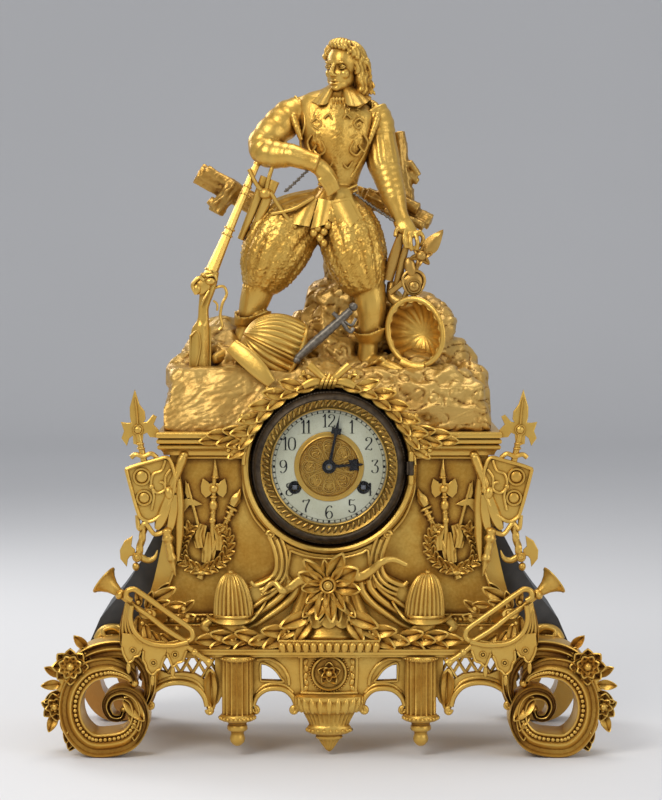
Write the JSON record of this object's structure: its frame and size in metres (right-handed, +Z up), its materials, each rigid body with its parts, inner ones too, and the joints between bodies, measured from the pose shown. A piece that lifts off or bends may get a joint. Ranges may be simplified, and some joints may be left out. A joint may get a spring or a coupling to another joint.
{
  "type": "figural mantel clock",
  "caption": "Gilt figural mantel clock: scroll-footed flared case, porcelain dial under a hinged glass bezel, pendulum movement, and a soldier with his arms on a rocky mound.",
  "frame": {"origin": "on the shelf, under the middle of the clock", "axes": "+Z up, the dial faces -Y, +X to the right of someone who looks at the dial"},
  "size_m": [0.448, 0.193, 0.5598],
  "materials": {
    "gilt_spelter": "gilt cast metal with brown patina in the recesses",
    "dark_bronze": "dark brown bronzed metal",
    "black_paint": "dull black painted iron",
    "brass": "polished brass",
    "steel": "polished steel",
    "black_steel": "blackened steel",
    "enamel": "cream porcelain enamel",
    "glass": "clear flat glass"
  },
  "bodies": {
    "case": {"base_platform": "gilt_spelter", "base_apron": "gilt_spelter", "right_column": "gilt_spelter", "left_column": "gilt_spelter", "right_front_foot": "gilt_spelter", "left_front_foot": "gilt_spelter", "right_rear_foot": "dark_bronze", "left_rear_foot": "dark_bronze", "case_front": "gilt_spelter", "right_case_side": "black_paint", "left_case_side": "black_paint", "case_back": "black_paint", "dial_surround": "gilt_spelter", "right_cornice": "gilt_spelter", "left_cornice": "gilt_spelter", "dial_pan": "gilt_spelter", "dial_plate": "enamel", "movement_front_plate": "brass", "movement_rear_plate": "brass", "strike_gong": "steel", "dial_bracket": "gilt_spelter", "right_swag": "gilt_spelter", "left_swag": "gilt_spelter", "right_helmet": "gilt_spelter", "left_helmet": "gilt_spelter", "right_wall_trophy": "gilt_spelter", "left_wall_trophy": "gilt_spelter", "right_shield": "gilt_spelter", "left_shield": "gilt_spelter", "right_trumpet": "gilt_spelter", "left_trumpet": "gilt_spelter", "rock_mound": "gilt_spelter", "soldier_body": "gilt_spelter", "timbers": "gilt_spelter", "soldier_head": "gilt_spelter", "soldier_right_arm": "gilt_spelter", "soldier_left_arm": "gilt_spelter", "musket": "gilt_spelter", "fallen_helmet": "gilt_spelter", "field_sword": "black_steel", "open_helmet": "gilt_spelter", "arms_cluster": "gilt_spelter"},
    "bezel": {"bezel_ring": "dark_bronze", "bezel_glass": "glass"},
    "door": {"back_door": "black_paint"},
    "minute": {"minute_hand": "black_steel", "cannon_pinion": "steel"},
    "minute_work": {"minute_wheel": "brass"},
    "hour": {"hour_hand": "black_steel", "hour_wheel": "brass"},
    "escape": {"escape_arbor": "brass"},
    "third": {"third_arbor": "brass"},
    "centre": {"centre_arbor": "brass"},
    "time_drum": {"time_barrel": "brass"},
    "time_key": {"time_winding_arbor": "steel"},
    "strike_drum": {"strike_barrel": "brass"},
    "strike_key": {"strike_winding_arbor": "steel"},
    "swing": {"pallet_arbor": "steel", "pendulum": "brass"},
    "hammer": {"strike_hammer": "steel"}
  },
  "joints": [
    {"name": "bezel_hinge", "type": "hinge", "parent": "case", "child": "bezel", "pos_m": [0.0634, -0.07573, 0.2235], "axis": [0, 0, 1], "range_deg": [0, 100]},
    {"name": "door_hinge", "type": "hinge", "parent": "case", "child": "door", "pos_m": [0.055, 0.06835, 0.2235], "axis": [0, 0, -1], "range_deg": [0, 110]},
    {"name": "minute_turn", "type": "hinge", "parent": "case", "child": "minute", "pos_m": [0, -0.055, 0.2235], "axis": [0, 1, 0], "continuous": true},
    {"name": "minute_work_turn", "type": "hinge", "parent": "case", "child": "minute_work", "pos_m": [0.01358, -0.05, 0.23708], "axis": [0, 1, 0], "continuous": true},
    {"name": "hour_turn", "type": "hinge", "parent": "case", "child": "hour", "pos_m": [0, -0.055, 0.2235], "axis": [0, 1, 0], "continuous": true},
    {"name": "escape_turn", "type": "hinge", "parent": "case", "child": "escape", "pos_m": [0, -0.03, 0.244], "axis": [0, 1, 0], "continuous": true},
    {"name": "third_turn", "type": "hinge", "parent": "case", "child": "third", "pos_m": [-0.01464, -0.03, 0.23638], "axis": [0, 1, 0], "continuous": true},
    {"name": "centre_turn", "type": "hinge", "parent": "case", "child": "centre", "pos_m": [0, -0.03, 0.2235], "axis": [0, 1, 0], "continuous": true},
    {"name": "time_drum_turn", "type": "hinge", "parent": "case", "child": "time_drum", "pos_m": [0.0267, -0.035, 0.2072], "axis": [0, 1, 0], "continuous": true},
    {"name": "time_winding", "type": "hinge", "parent": "case", "child": "time_key", "pos_m": [0.0267, -0.035, 0.2072], "axis": [0, 1, 0], "continuous": true},
    {"name": "strike_drum_turn", "type": "hinge", "parent": "case", "child": "strike_drum", "pos_m": [-0.0267, -0.035, 0.2072], "axis": [0, 1, 0], "continuous": true},
    {"name": "strike_winding", "type": "hinge", "parent": "case", "child": "strike_key", "pos_m": [-0.0267, -0.035, 0.2072], "axis": [0, 1, 0], "continuous": true},
    {"name": "pendulum_swing", "type": "hinge", "parent": "case", "child": "swing", "pos_m": [0, -0.012, 0.25956], "axis": [0, 1, 0], "range_deg": [-4, 4]},
    {"name": "hammer_lift", "type": "hinge", "parent": "case", "child": "hammer", "pos_m": [-0.04598, -0.02, 0.18164], "axis": [0, -1, 0], "range_deg": [0, 20], "stiffness_Nm_per_rad": 0.02}
  ],
  "couplings": [
    {"joint": "minute_work_turn", "follows": "minute_turn", "ratio": -0.33333},
    {"joint": "hour_turn", "follows": "minute_turn", "ratio": 0.083333},
    {"joint": "third_turn", "follows": "escape_turn", "ratio": -0.1},
    {"joint": "centre_turn", "follows": "escape_turn", "ratio": 0.0083333},
    {"joint": "time_drum_turn", "follows": "escape_turn", "ratio": -0.0013889}
  ]
}
